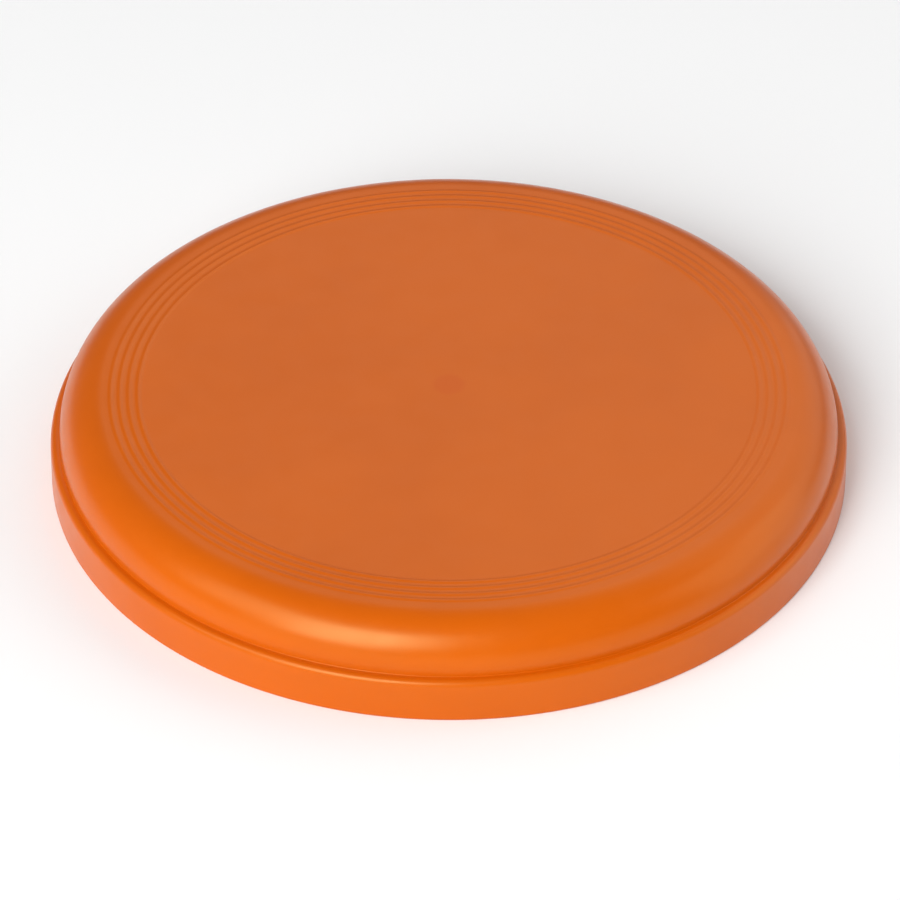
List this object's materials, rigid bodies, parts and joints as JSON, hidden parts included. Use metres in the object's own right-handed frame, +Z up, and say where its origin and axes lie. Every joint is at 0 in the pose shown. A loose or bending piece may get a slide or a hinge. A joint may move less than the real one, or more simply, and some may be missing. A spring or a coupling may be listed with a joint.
{
  "type": "flying disc",
  "caption": "Round orange plastic flying disc, hollow underneath, with a flat ringed top, a rounded shoulder and a stepped rim that stacks.",
  "frame": {"origin": "centre of the rim's bottom plane, where the disc rests on a surface", "axes": "+Z up along the disc's axis of revolution, from the open underside to the flat top; +X and +Y lie in the rim's plane and are arbitrary, because the disc is round"},
  "size_m": [0.22, 0.22, 0.0267],
  "materials": {
    "moulded_plastic": "satin, with a fine even grain from the mould"
  },
  "bodies": {
    "root": {"centre_plate": "moulded_plastic", "ring_band": "moulded_plastic", "flight_ring_1": "moulded_plastic", "flight_ring_2": "moulded_plastic", "flight_ring_3": "moulded_plastic", "flight_ring_4": "moulded_plastic", "shoulder": "moulded_plastic", "stacking_ledge": "moulded_plastic", "rim_skirt": "moulded_plastic"}
  },
  "joints": []
}
